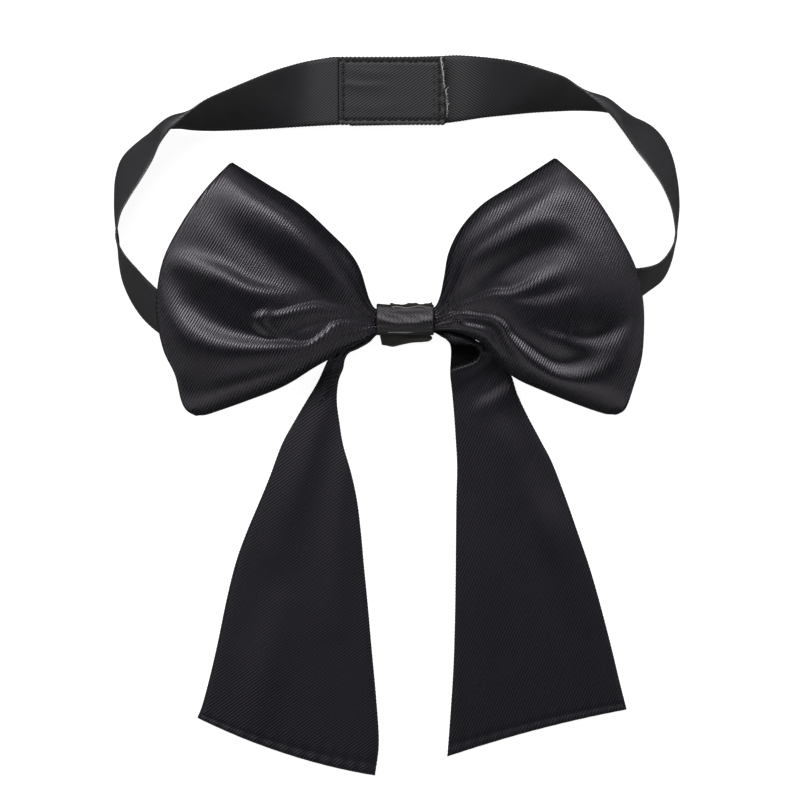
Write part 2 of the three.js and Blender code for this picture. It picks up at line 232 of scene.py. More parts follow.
def steps(x, y, lines, towards):
    """Height added by folds that lean over: the cloth stands high on one side of each line and drops to
    the other, `towards` +1 for left or -1 for right, then levels out within its reach. Each line's points
    are (x, y, drop, half width of the drop, reach)."""
    total = np.zeros_like(x)
    for line in lines:
        values, aside, past = nearest(x, y, line)
        drop, width, reach = values[..., 0], values[..., 1], values[..., 2]
        level = np.exp(-((aside / reach) ** 2) - (1.6 * past / reach) ** 2)
        total -= drop * 0.5 * np.tanh(1.2 * towards * aside / width) * level
    return total


def close_tube(faces, base, rings, sides):
    """Add the faces of a tube whose rings of vertices start at base, with both ends capped."""
    for ring in range(rings - 1):
        for side in range(sides):
            a, b = base + ring * sides + side, base + ring * sides + (side + 1) % sides
            faces.append((a, b, b + sides, a + sides))
    faces.append(tuple(base + side for side in reversed(range(sides))))
    faces.append(tuple(base + (rings - 1) * sides + side for side in range(sides)))


def tube(vertices, faces, uv, centre, radius, sides=5):
    """Add a thin round thread along centre, thinner towards its far end."""
    base, rings = len(vertices), len(centre)
    ahead = np.gradient(centre, axis=0)
    ahead /= norm(ahead, axis=-1, keepdims=True)
    sideways = np.cross(ahead, (0, 0, 1.0))
    sideways /= np.maximum(norm(sideways, axis=-1, keepdims=True), 1e-6)
    upwards = np.cross(sideways, ahead)
    for ring in range(rings):
        size = radius * (1 - 0.45 * ring / (rings - 1))
        for side in range(sides):
            a = 2 * math.pi * side / sides
            out = math.cos(a) * sideways[ring] + math.sin(a) * upwards[ring]
            vertices.append(centre[ring] + size * out)
            uv.append((size * a, 0.4 * ring))
    close_tube(faces, base, rings, sides)


def roll(name, centre, radius, material):
    """A thin rolled edge of cloth along centre."""
    vertices, faces, uv = [], [], []
    tube(vertices, faces, uv, centre, radius, sides=8)
    return make_mesh(name, vertices, faces, uv, [material])


# ---- materials ----
RIB_HEIGHT = 0.11  # how far the twill's ribs stand up
YARN_ANGLE = 63  # from the ribs to the fine yarns that cross them


def node_material(name):
    material = bpy.data.materials.new(name)
    material.use_nodes = True
    nodes = material.node_tree.nodes
    shader = nodes["Principled BSDF"]
    return material, nodes, material.node_tree.links, shader


def put(node, values):
    """Set a node's inputs by name."""
    for name, value in values.items():
        node.inputs[name].default_value = value


def weave(name, dark, light, roughness, twill, bump, specular=0.5, uneven=0.06, gleam=(1, 1, 1), patchy=0.5):
    """Twill cloth: diagonal ribs, fine yarns across them, and slow changes of colour and gloss. `twill` is
    the ribs' angle in degrees and their pitch in millimetres, `patchy` how far the ribs drown in places."""
    material, nodes, links, shader = node_material(name)
    angle, pitch = twill
    put(shader, {"Specular IOR Level": specular, "Specular Tint": (*gleam, 1)})
    place = nodes.new("ShaderNodeUVMap")
    place.uv_map = "weave"

    def ribs(angle, period, distortion):
        turn = nodes.new("ShaderNodeMapping")
        put(turn, {"Rotation": (0, 0, math.radians(90 - angle))})
        wave = nodes.new("ShaderNodeTexWave")
        put(wave, {"Scale": 2 * math.pi / 20 / period, "Distortion": distortion, "Detail": 1})
        links.new(place.outputs["UV"], turn.inputs["Vector"])
        links.new(turn.outputs["Vector"], wave.inputs["Vector"])
        return wave.outputs["Fac"]

    def noise(scale, detail):
        texture = nodes.new("ShaderNodeTexNoise")
        put(texture, {"Scale": scale, "Detail": detail})
        links.new(place.outputs["UV"], texture.inputs["Vector"])
        return texture.outputs["Fac"]

    def mix_values(a, b, share):
        blend = nodes.new("ShaderNodeMix")
        blend.data_type = "FLOAT"
        if isinstance(share, float):
            blend.inputs["Factor"].default_value = share
        else:
            links.new(share, blend.inputs["Factor"])
        links.new(a, blend.inputs["A"])
        links.new(b, blend.inputs["B"])
        return blend.outputs["Result"]

    def stretch(value, low, high, to_low, to_high):
        scale = nodes.new("ShaderNodeMapRange")
        put(scale, {"From Min": low, "From Max": high, "To Min": to_low, "To Max": to_high})
        links.new(value, scale.inputs["Value"])
        return scale.outputs["Result"]

    diagonal = ribs(angle, pitch, 0.6)
    yarns = ribs(angle + YARN_ANGLE, pitch * 0.7, 0.9)
    surface = mix_values(mix_values(diagonal, yarns, 0.25), noise(2.6, 3), 0.22)
    lift = nodes.new("ShaderNodeBump")
    put(lift, {"Strength": bump, "Distance": RIB_HEIGHT * MM})
    links.new(surface, lift.inputs["Height"])
    links.new(lift.outputs["Normal"], shader.inputs["Normal"])

    # the ribs show clearly in some places and drown in the yarns' grain in others
    worn = stretch(noise(0.09, 3), 0.40, 0.66, 0.0, patchy)
    lines = mix_values(mix_values(diagonal, surface, 0.25), noise(3.2, 2), worn)
    lines = stretch(lines, 0.28, 0.72, 0.0, 1.0)
    shade = nodes.new("ShaderNodeMix")
    shade.data_type = "RGBA"
    put(shade, {"A": (*dark, 1), "B": (*light, 1)})
    links.new(mix_values(noise(0.05, 4), lines, 0.85), shade.inputs["Factor"])
    links.new(shade.outputs["Result"], shader.inputs["Base Color"])

    gloss = mix_values(noise(0.18, 3), surface, 0.5)
    links.new(stretch(gloss, 0.0, 1.0, roughness - uneven, roughness + uneven), shader.inputs["Roughness"])
    return material


DARK_YARN, LIGHT_YARN, TAIL_YARN = (0.0003, 0.0003, 0.0005), (0.0155, 0.0145, 0.021), (0.022, 0.021, 0.029)
SATIN = {"gleam": (0.97, 0.90, 1.0), "uneven": 0.14}
SATIN_LEFT = weave("satin_left", DARK_YARN, LIGHT_YARN, 0.31, (60, 0.67), 0.8, specular=0.8, **SATIN)
SATIN_RIGHT = weave("satin_right", DARK_YARN, LIGHT_YARN, 0.31, (66, 0.65), 0.8, specular=0.8, **SATIN)
SATIN_KNOT = weave("satin_knot", (0.003, 0.003, 0.0032), (0.030, 0.029, 0.029), 0.42, (40, 0.6), 0.7,
                   specular=0.6, patchy=0.95, **SATIN)
TAIL_SATIN = {"gleam": SATIN["gleam"], "specular": 0.35, "patchy": 0.9}
SATIN_TAIL_LEFT = weave("satin_tail_left", DARK_YARN, TAIL_YARN, 0.40, (36, 0.71), 0.8, **TAIL_SATIN)
SATIN_TAIL_RIGHT = weave("satin_tail_right", DARK_YARN, TAIL_YARN, 0.40, (66, 0.70), 0.8, **TAIL_SATIN)
SATIN_REVERSE = weave("satin_reverse", (0.020, 0.020, 0.018), (0.050, 0.049, 0.044), 0.68, (30, 0.6), 0.6,
                      specular=0.3)
RIBBON_YARN = (0.0005, 0.0005, 0.0008)
RIBBON = weave("ribbon", RIBBON_YARN, (0.050, 0.048, 0.055), 0.5, (34, 0.62), 0.5, specular=0.4, patchy=0.2)
# a lighter, glossier copy of the ribbon for one face of the neckband: painted highlight
RIBBON_PAINTED_GLEAM = weave("ribbon_painted_gleam", RIBBON_YARN, (0.060, 0.058, 0.066), 0.4, (34, 0.62), 0.5,
                      specular=0.95, patchy=0.2)
# a lighter copy of the satin's reverse: painted light on the tab, which lies in the knot's shade
TAB = weave("knot_tab", (0.035, 0.034, 0.030), (0.075, 0.073, 0.066), 0.6, (30, 0.6), 0.5,
            specular=0.3, patchy=1.0)
# pale grey: painted highlight on the knot's rolled edges
ROLL = weave("rolled_edge_painted_highlight", (0.16, 0.157, 0.15), (0.30, 0.295, 0.28), 0.6, (20, 0.5), 0.5)
# near-black satin: painted shade for the inside of the right tail's pocket
POCKET_PAINTED_SHADE = weave("satin_painted_shade", (0.001, 0.001, 0.001), (0.004, 0.004, 0.005), 0.8, (40, 0.6), 0.5,
               specular=0.1)
TAPE = weave("tape_pile", (0.005, 0.005, 0.005), (0.012, 0.012, 0.012), 0.9, (0, 0.9), 1.0)
HEM = weave("raw_hem", (0.045, 0.044, 0.040), (0.085, 0.083, 0.075), 0.7, (20, 0.5), 0.6)
FRAY = weave("loose_thread", (0.55, 0.55, 0.53), (0.8, 0.8, 0.78), 0.7, (0, 0.3), 0.3)
THREAD = weave("thread", (0.004, 0.004, 0.004), (0.012, 0.012, 0.012), 0.65, (40, 0.25), 0.6)


# ---- the bow's loops ----
LOOP_CORNER_HEIGHT = 9.0
ROOT_HEIGHT = 5.6
ROOT_HALF_GAP = 1.5
HALF_GAP = 3.2
BELLY = 2.6  # how much more the front leaf swells
EDGE_ROLL = 0.75  # share of the gap that each leaf gives up at its edge

LEFT_LOOP = {
    "crest": 9.2,
    "towards": -1,
    "upper": [(-6.5, 2.2), (-8.2, 2.8), (-9.6, 5.2), (-10.6, 8.5), (-12, 13.2), (-14.4, 17.3), (-20, 23),
              (-27.3, 29.7), (-36, 35.2), (-45.1, 40.8)],
    "lower": [(-6.5, -3.2), (-8.2, -3.4), (-11, -5.2), (-15.6, -7.4), (-19.8, -10.2), (-24.1, -12.7),
              (-31.5, -17.3), (-42, -21.5), (-54.9, -26)],
    "fold": [(-54.9, -26), (-57.6, -22.5), (-59.6, -14.5), (-62.4, -8.5), (-63.9, -2), (-64.3, 5),
             (-62.6, 15), (-58.2, 23.9), (-52, 33), (-45.1, 40.8)],
    "steps": [
        # the long fold from the knot that opens into the broad band on the outer left
        [(-7.7, -1.2, 0.4, 0.5, 1.2), (-13.2, -0.5, 0.8, 0.7, 1.7), (-18.1, -1.2, 1, 0.8, 2),
         (-21.6, -3.9, 1.2, 0.9, 2.4), (-25.5, -6.4, 1.4, 1, 3), (-32.9, -6.6, 2, 1.6, 4.6),
         (-42.9, -5.9, 3, 2.8, 7), (-51.3, -3.4, 3.6, 3.8, 9), (-57.7, 1.5, 3.4, 4.2, 9),
         (-61, 6.5, 2.4, 4.2, 9)],
        # the drop-shaped fold above it
        [(-8, -0.4, 0.4, 0.5, 1.2), (-13.2, 1.2, 0.8, 0.7, 1.6), (-18.1, 2.9, 1, 0.9, 2),
         (-22, 3.7, 1.1, 1, 2.4), (-28, 2.8, 1.1, 1.1, 2.6), (-32.9, 1.5, 1, 1.1, 2.6),
         (-37.6, 0.9, 0.5, 1.1, 2.4)],
        # the faint roll along the lower edge
        [(-22, -9, 0.1, 1.2, 2.6), (-29, -11.8, 0.5, 1.8, 3.4), (-38, -14.4, 0.8, 2.2, 4),
         (-47, -17, 0.8, 2.4, 4.2), (-54, -19.4, 0.3, 2.4, 4.2)],
        # the ridge that runs up to the outer edge
        [(-31, 7, 0.4, 1.4, 4), (-39.9, 8.9, 1.8, 2, 5), (-47.8, 12.9, 2.4, 2.6, 6),
         (-55.2, 15.9, 2.3, 3, 6.5), (-60.6, 17.4, 1.6, 3.2, 6.5)],
        # the roll along the upper edge
        [(-10.6, 4.4, 0.8, 0.9, 2.4), (-13.6, 9.4, 1.6, 1.6, 4.5), (-17.8, 14.8, 2.4, 2.3, 6),
         (-23.2, 21.6, 2.7, 2.7, 7.5), (-30.8, 28.4, 2.4, 3.2, 8), (-39.6, 34, 1.5, 3.4, 8),
         (-44.8, 37.6, 0.5, 3.4, 7)],
    ],
    "ridges": [
        # the blunt end of the drop-shaped fold, curling under
        [(-36, 1.6, 0.5, 1.4, 1.4), (-37.6, -0.4, 0.9, 1.5, 1.5), (-36.4, -2.6, 0.9, 1.5, 1.5),
         (-34.4, -3.9, 0.3, 1.4, 1.4)],
        # the broad hollow between the outer ridge and the roll along the upper edge
        [(-20, 6, -0.4, 3, 3), (-27, 10.5, -1.2, 4.5, 4.5), (-35, 15.5, -1.7, 5.5, 5.5),
         (-43, 21.5, -1.5, 5.5, 5.5), (-50, 27.5, -0.6, 5, 5)],
        # the hollow between the two long folds near the knot
        [(-17.5, 0.6, -0.3, 1.1, 1.1), (-22.5, -0.6, -0.8, 1.6, 1.6), (-27, -2, -0.9, 1.9, 1.9),
         (-31.5, -3.4, -0.4, 1.9, 1.9)],
    ],
}
RIGHT_LOOP = {
    "crest": 9.8,
    "towards": 1,
    "upper": [(6.5, 2.4), (8.2, 3.2), (9.5, 6), (10.5, 11), (11.6, 17.5), (14.5, 23.5), (20, 29.7),
              (28.6, 35.2), (39, 41.9)],
    "lower": [(6.5, -2.8), (8.2, -2.6), (12.5, -2.9), (16.8, -4.2), (20, -6), (22.6, -8.9), (25.2, -12),
              (29, -15.3), (37, -19), (47.4, -23.1), (55.4, -25.7)],
    "fold": [(55.4, -25.7), (57.2, -23.6), (59.4, -17), (61.2, -10.5), (61.8, -3), (61.6, 4),
             (59.9, 12.4), (55.2, 22), (48.3, 32.6), (39, 41.9)],
    "steps": [
        # the lower fold from the knot, which turns down and sweeps round to the outer right
        [(8, -1.9, 0.4, 0.5, 1.2), (9.4, -0.4, 0.7, 0.6, 1.6), (11.2, 1.1, 0.9, 0.7, 1.7),
         (13.9, 1.8, 1.1, 0.7, 1.8), (18.8, 1.3, 1, 0.8, 2), (23.6, 0.3, 1.1, 0.9, 2.2),
         (26.2, -1.6, 1.2, 1, 2.4), (28, -4.4, 1.6, 1.1, 3), (31.7, -7.9, 2.2, 1.5, 4.2),
         (35.6, -11, 2.8, 2, 5.4), (39.6, -13.2, 3.4, 2.7, 6.8), (44, -13.6, 4, 3.4, 8),
         (48.6, -12.2, 4.2, 4.2, 9), (52.8, -9.4, 3.2, 4.8, 9.5), (56.2, -5.4, 1.4, 5, 9.5),
         (58.4, -0.5, 0.3, 5, 9.5)],
        # the broad sheen above it
        [(34, -2.2, 0.2, 1.2, 3), (38.5, -4, 0.9, 1.7, 3.6), (44, -5.6, 1.6, 2.2, 4.2),
         (50, -6, 1.8, 2.6, 4.8), (55, -4.2, 1.3, 2.8, 5), (59, -1, 0.5, 2.8, 5)],
        # the short soft fold below it
        [(10.5, -1.9, 0.2, 0.5, 1), (13.4, 0, 0.6, 0.6, 1.3), (16.4, -1.2, 0.8, 0.7, 1.5),
         (19.6, -1.8, 0.9, 0.8, 1.6), (22.4, -2.6, 0.6, 0.9, 1.6), (23.6, -4.2, 0.2, 0.9, 1.6)],
        # the upper fold from the knot
        [(9, 0.4, 0.3, 0.5, 1.2), (13.4, 3.5, 0.7, 0.7, 1.6), (17.8, 5.2, 0.9, 0.8, 2),
         (23.3, 7, 1, 0.9, 2.2), (27.2, 7.2, 1, 1, 2.4), (30.4, 8.3, 1.2, 1.2, 2.8),
         (34, 10.4, 1.2, 1.6, 3.2), (38, 12.6, 0.6, 1.8, 3.4)],
        # its faint branch
        [(25, 5.6, 0.1, 1.2, 2.4), (31, 4.6, 0.5, 1.4, 2.8), (37, 5, 0.6, 1.8, 3.4),
         (43.5, 7.2, 0.4, 2, 4)],
        # the roll along the upper edge
        [(10, 4, 0.7, 0.8, 2.2), (12.9, 8.8, 1.4, 1.3, 4), (15.2, 14.8, 2.1, 1.9, 5),
         (18.6, 19.2, 2.5, 2.3, 6), (23.4, 23, 2.7, 2.6, 6.5), (29.2, 27.4, 2.6, 2.8, 7),
         (35, 31.4, 2.1, 3, 7), (39.6, 35.4, 1.2, 3, 6.5)],
        # a faint arc across the upper half
        [(19.4, 15.6, 0.1, 1.5, 3.5), (25.2, 20, 0.4, 1.8, 4), (30.2, 24.4, 0.5, 2, 4),
         (36, 26.6, 0.5, 2.2, 4), (41, 25.8, 0.4, 2.2, 4), (46.5, 21.8, 0.2, 2.2, 4)],
    ],
    "ridges": [
        # the broad hollow between the upper fold and the roll along the upper edge
        [(12.5, 5.2, -0.3, 1.6, 1.6), (18, 8.4, -0.9, 3, 3), (25, 12.2, -1.5, 4.2, 4.2),
         (32, 16, -1.6, 4.6, 4.6), (40, 18.6, -0.9, 4.6, 4.6)],
        # the deep pleat below the lower fold
        [(15, -0.8, -0.3, 1, 1), (19.5, -1.4, -0.7, 1.3, 1.3), (23.2, -3.4, -0.9, 1.5, 1.5),
         (25.4, -7, -0.8, 1.6, 1.6), (28.5, -11, -0.3, 1.6, 1.6)],
    ],
}
# Height of the cloth across a loop, from its lower edge to its upper one, as a share of the crest.
ACROSS_LOOP = [(0, 0.12), (0.05, 0.44), (0.12, 0.68), (0.25, 0.86), (0.45, 0.97), (0.68, 1), (0.83, 0.96),
               (0.93, 0.82), (0.975, 0.64), (1, 0.44)]


def loop_grid(shape, across=110, along=240):
    """One strip: out from the knot as the front leaf, round the outer fold and back as the rear leaf."""
    s, v = grid_uv(along, across)
    turn = math.pi * s
    u = np.sin(turn)
    upper, lower, fold = curve(shape["upper"]), curve(shape["lower"]), curve(shape["fold"])
    root = lower(0.0) + (upper(0.0) - lower(0.0)) * v[..., None]
    tip = lower(1.0) + (upper(1.0) - lower(1.0)) * v[..., None]
    ruled = lower(u) + (upper(u) - lower(u)) * v[..., None]
    between = root + (fold(v) - root) * u[..., None]
    corners = root + (tip - root) * u[..., None]
    plan = ruled + between - corners
    # the lower outer corner is rounded off
    corner = lower(1.0)
    reach = norm(plan - corner, axis=-1)
    inwards = (lower(0.5) + fold(0.35)) / 2 - corner
    plan += inwards / norm(inwards) * (0.8 * hump(reach, 1.9))[..., None]
    x, y = plan[..., 0], plan[..., 1]

    facing = np.cos(turn)
    front = smooth(0.0, 0.45, facing)
    profile = curve(ACROSS_LOOP)(np.linspace(0, 1, 400))
    crest = LOOP_CORNER_HEIGHT + shape["crest"] * np.interp(v, profile[:, 0], profile[:, 1])
    middle = ROOT_HEIGHT + (crest - ROOT_HEIGHT) * np.sin(math.pi / 2 * u) ** 1.2
    half_gap = ROOT_HALF_GAP + (HALF_GAP - ROOT_HALF_GAP) * smooth(0, 0.6, u)
    from_edge = np.clip(np.minimum(v, 1 - v) / 0.09, 0, 1)
    edge_roll = EDGE_ROLL * half_gap * (1 - np.sqrt(np.clip(1 - (1 - from_edge) ** 2, 0, 1)))
    height = middle + (half_gap - edge_roll) * facing
    height = height + BELLY * front * 4 * u * (1 - u) * 4 * v * (1 - v)
    # fine gathers where the knot's thread draws the cloth in
    gathers = 0.13 * np.cos(2 * math.pi * (5.5 * v + 1.2 * v * v)) + 0.05 * np.cos(2 * math.pi * 13 * v + 1)
    height = height + gathers * hump(u, 0.15) * smooth(0, 0.12, np.abs(facing))
    folds = steps(x, y, shape["steps"], shape["towards"]) + ridges(x, y, shape["ridges"])
    return np.stack([x, y, height + front * folds], axis=-1)


def make_loop(name, shape, node, material):
    grid = loop_grid(shape)
    piece = cloth(name, grid, 0.9, [material, SATIN_REVERSE], edge=0.9)
    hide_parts(node)
    return piece


left_bow = make_loop("bow_loop_left", LEFT_LOOP, "left_loop", SATIN_LEFT)
right_bow = make_loop("bow_loop_right", RIGHT_LOOP, "right_loop", SATIN_RIGHT)
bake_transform(left_bow)
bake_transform(right_bow)


# ---- the knot ----
def knot_grid():
    """The wrap: a strip round the bundle, its front bowed up along a line that sags in the middle."""
    s, v = grid_uv(90, 160)
    x = -7.5 + 15.1 * s
    angle = 2 * math.pi * v
    c, n = np.cos(angle), np.sin(angle)
    power = 2.5 + 1.1 * smooth(-0.2, 0.4, n)
    y = 3.75 * np.sign(c) * np.abs(c) ** (2 / power)
    z = 4.75 + 4.2 * np.sign(n) * np.abs(n) ** (2 / power)
    top = smooth(0.0, 0.8, n)
    sag = -0.25 - 1.0 * np.sin(math.pi * np.clip(s, 0, 1)) ** 1.2
    crest = 0.36 * hump(y - sag, 0.85)
    pleat = 0.22 * hump(y - sag + 1.9 + 0.4 * s, 0.6)
    shallow = -0.16 * hump(y - sag - 2.4 - 0.3 * np.sin(4 * s), 0.8)
    crumple = 0.07 * np.sin(17 * s + 2.2 * y) * hump(y - sag - 0.8, 1.4)
    z = z + top * (crest + pleat + shallow + crumple - 0.3)
    y = y * (1 - 0.035 * np.sin(math.pi * s)) + 0.12 * np.sin(9 * s + 2) * (c > 0) * np.abs(c) ** 3
    return np.stack([x, y, z], axis=-1), v


def closed_band(name, grid, thickness, materials, uv, edge=0.4):
    """A sheet whose last column joins its first, such as the knot's wrap."""
    n, m = grid.shape[:2]
    m -= 1
    ring = grid[:, :m]
    ahead = np.roll(ring, -1, axis=1) - np.roll(ring, 1, axis=1)
    normal = np.cross(np.gradient(ring, axis=0), ahead)
    normal /= np.maximum(norm(normal, axis=-1, keepdims=True), 1e-9)
    along = norm(np.gradient(ring, axis=0), axis=-1)
    rows = np.arange(n)[:, None]
    half = half_thickness(thickness, np.minimum(rows, n - 1 - rows) * along, edge, 0.3)
    offset = normal * half[..., None]
    vertices = np.concatenate([(ring + offset).reshape(-1, 3), (ring - offset).reshape(-1, 3)])
    index = np.arange(n * m).reshape(n, m)
    after = np.roll(index, -1, axis=1)
    quads = np.stack([index[:-1], index[1:], after[1:], after[:-1]], -1).reshape(-1, 4)
    low = np.stack([index[0], after[0], after[0] + n * m, index[0] + n * m], -1)
    high = np.stack([index[-1], index[-1] + n * m, after[-1] + n * m, after[-1]], -1)
    faces = np.concatenate([quads, quads[:, ::-1] + n * m, low, high])
    uv = np.concatenate([uv[:, :m].reshape(-1, 2)] * 2)
    return make_mesh(name, vertices, faces, uv, materials, face_sides(quads, 2 * m, materials))


def add_knot():
    """The strip round the bundle, with its two ends and the thin rolls of its turned edges."""
    grid, v = knot_grid()
    grid = grid[:, ::-1]
    uv = np.stack([grid[..., 0], 28 * v[:, ::-1]], axis=-1)
    wrap = closed_band("knot_wrap_cloth", grid, 0.8, [SATIN_KNOT, SATIN_REVERSE], uv)
    attach(wrap, "knot_wrap", "bow_middle")

    # the strip's end, turned under below the knot; its cloth is a lighter copy of the reverse, painted light
    # where the knot shades it
    s, v = grid_uv(90, 30)
    low = curve([(-6.1, -6.6), (-4.9, -6.8), (-3.3, -7.1), (-1.0, -6.6), (2.2, -6.0), (4.6, -5.85),
                 (6.3, -5.6)])(s)
    high = curve([(-6.8, -3.4), (-3, -3.3), (0, -3.4), (3, -3.4), (5, -3.5), (6.5, -4.0)])(s)
    plan = low + (high - low) * v[..., None]
    plan[..., 0] += 0.85 * np.sin(math.pi * v) * smooth(0.8, 1, s)
    z = 1.5 + 0.7 * smooth(0.3, 1, v) + 0.18 * np.sin(11 * s + 1) * (1 - v) + 0.3 * np.sin(math.pi * v)
    z += 0.25 * hump(v - 0.45, 0.2) * smooth(0.35, 0.6, s)
    grid = raise_plan(plan, z)
    tab = cloth("knot_tab_cloth", grid, 0.8, [TAB, SATIN_REVERSE], edge=0.6)
    attach(tab, "knot_tab", "bow_middle")

    # the strip's other end, a raw edge that curls along the top of the knot
    s, v = grid_uv(110, 14)
    x = -3.9 + 11.1 * s
    y = 3.3 + 0.3 * s + (0.75 + 0.25 * np.sin(13 * s + 1)) * v + 0.1 * np.sin(31 * s + 1) * v
    z = 6.0 - 0.5 * (1 - v) + 0.35 * np.sin(15 * s + 2) * v + 0.15 * np.sin(math.pi * v)
    hem = cloth("knot_wrap_end", np.stack([x, y, z], axis=-1), 0.45, [HEM, HEM], edge=0.2)
    # the turned edges show as two thin rolls, one along the top and one along the lower rim; their pale
    # colour is a painted highlight along both rims
    s = np.linspace(0, 1, 60)
    y = 3.05 + 0.28 * s + 0.22 * np.sin(11 * s + 0.4)
    upper = np.stack([-3.4 + 10.2 * s, y, 8.4 + 0.08 * np.sin(9 * s)], axis=-1)
    y = -3.42 + 0.30 * s**2 + 0.08 * np.sin(12 * s)
    lower = np.stack([-4.4 + 11.0 * s, y, 8.15 + 0.1 * s], axis=-1)
    extras = [hem, roll("knot_upper_roll", upper, 0.2, ROLL), roll("knot_lower_roll", lower, 0.22, ROLL)]
    for piece in extras:
        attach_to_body(piece, "bow_middle")


def add_bundle():
    """The gathered middle of the bow, inside the knot."""
    s, v = grid_uv(24, 145)
    angle = 2 * math.pi * v
    pleat = 1 - 0.10 * (1 + np.cos(9 * angle + 2.5 * s)) / 2
    x = -7.8 + 15.6 * s
    y = 2.6 * np.cos(angle) * pleat
    z = 5.85 + 1.85 * np.sin(angle) * pleat
    grid = np.stack([x, y, z], axis=-1)[:, ::-1]
    uv = np.stack([x, 14 * v], axis=-1)
    bundle = closed_band("bow_gathers", grid, 0.5, [SATIN_KNOT, SATIN_REVERSE], uv)
    attach(bundle, "bow_core", "bow_middle")


# ---- the tails ----
# Each station: x, y of the outer edge, then x, y of the inner edge.
TAIL_LEFT = [
    (-5, -1.4, -5, -3.2), (-7.6, -1.5, -7.6, -4), (-10.8, -2.9, -9.6, -6), (-13.6, -4.7, -12.4, -7.6),
    (-16.8, -6.4, -14.8, -8.7), (-19.4, -8.9, -15.9, -10.4), (-21, -12, -16.4, -12.9),
    (-23.1, -16.5, -17.6, -16.2), (-26.2, -21.7, -18, -21.4), (-29.1, -26.6, -17.3, -27.2),
    (-32.6, -33, -16.3, -33.2), (-35.8, -41.6, -14.2, -40.6), (-38.6, -48.6, -12.6, -48.2),
    (-41.6, -56, -11.6, -56.6), (-44.4, -64, -10.8, -65.4), (-46.9, -73.7, -9.8, -75.6),
    (-49.3, -84.6, -8.8, -87), (-51.6, -94.6, -7.6, -100), (-53.4, -102, -6.9, -112),
    (-54.6, -105.5, -7.9, -120.6)]
TAIL_RIGHT = [
    (5, -1.6, 5, -3.2), (7.6, -1.9, 7.6, -3.4), (9.8, -2.7, 9.8, -4.6), (12.6, -3.4, 11.6, -5.7),
    (16.6, -4.1, 12.1, -7.2), (19.4, -5.9, 12.2, -8.8), (23.4, -7.2, 12.1, -10.6),
    (26.6, -10.6, 12, -12.6), (28.2, -14.6, 11.95, -14.6), (29.9, -20.1, 12.4, -18.6),
    (32.4, -25.4, 12.9, -23.8), (36, -32.1, 13.4, -31), (39, -37.9, 13.8, -38.7), (42.4, -47, 13.6, -48),
    (45.6, -56.6, 13.5, -58.6), (48.8, -66.2, 13.4, -69.4), (52, -77, 13.2, -80.6),
    (54.8, -87.4, 12.8, -92.6), (56.8, -96.2, 12, -105), (58.4, -103.2, 11.2, -115.6)]


TAIL_ROWS, TAIL_COLUMNS = 300, 72
SEAM_INSET = 2.2  # from a tail's end to its row of stitches
PICOT_PITCH = 0.95  # between two turns of weft along a selvedge


def serrate(plan, along, amount):
    """Push the two side edges in and out a little, as the turns of weft do along a selvedge."""
    across = plan[:, -1] - plan[:, 0]
    across /= np.maximum(norm(across, axis=-1, keepdims=True), 1e-9)
    wave = amount * np.cos(2 * math.pi * along / PICOT_PITCH)
    plan[:, 0] -= across * wave[:, None]
    plan[:, -1] += across * wave[:, None]


def tail_plan(stations, end_bow):
    """A tail seen from above, in rows along its length; end_bow is how far its end bulges out."""
    outer = curve([(a, b) for a, b, c, d in stations], by_station=True)
    inner = curve([(c, d) for a, b, c, d in stations], by_station=True)
    dense = np.linspace(0, 1, 2000)
    middle = (outer(dense) + inner(dense)) / 2
    length = travel(middle)
    along = np.linspace(0, length[-1], int(TAIL_ROWS * FINE))
    u, v = np.meshgrid(np.interp(along, length, dense), shares(TAIL_COLUMNS), indexing="ij")
    plan = outer(u) + (inner(u) - outer(u)) * v[..., None]
    plan[..., 1] -= end_bow * 4 * v * (1 - v) * smooth(0.75, 1, u)
    serrate(plan, along, 0.05)
    return plan, u, v, along


def left_tail_height(x, y, u, v):
    neck = smooth(-19, -9, y)
    z = 1.25 + 1.65 * neck + 1.2 * smooth(-14, -8, y) * smooth(-8, -11, x)
    crown = 0.75 * np.sin(math.pi * v) * smooth(-19, -8, y)
    gathers = 0.14 * np.sin(2 * math.pi * (2.5 * v + 0.12)) * smooth(-26, -12, y) * smooth(0, 0.08, u)
    # short tucks across the neck, where the cloth is drawn together
    tucks = hump(y + 13.5, 3.2) * hump(v - 0.35, 0.35)
    gathers = gathers + 0.09 * tucks * np.sin(2 * math.pi * (y + 0.15 * x) / 0.85)
    lines = [
        [(-17.9, -14.7, 0.35, 0.6, 1.4), (-19.6, -17.2, 0.45, 0.7, 1.8), (-21.4, -20.5, 0.2, 0.8, 2.2)],
        [(-20.0, -18.0, 0.2, 2.0, 2.0), (-24.0, -30.0, 0.55, 3.0, 4.0), (-29.0, -45.0, 0.7, 4.5, 6.0),
         (-35.0, -60.0, 0.3, 6.0, 6.0)],
        [(-16.0, -30.0, 0.1, 2.0, 2.0), (-17.0, -45.0, 0.5, 3.0, 3.0), (-17.5, -62.0, 0.5, 4.0, 4.0),
         (-18.0, -80.0, 0.2, 4.0, 4.0)],
        [(-33.0, -76.0, 0.2, 4.0, 4.0), (-37.0, -92.0, 0.45, 5.0, 5.0), (-41.0, -108.0, 0.3, 5.0, 5.0)],
    ]
    return z + crown + gathers + ridges(x, y, lines)


def pocket_edges(x):
    """The top and the bottom of the dark pocket at the right tail's turn."""
    return -5.9 - 0.12 * (x - 12), -13.0 + 0.30 * (x - 12)


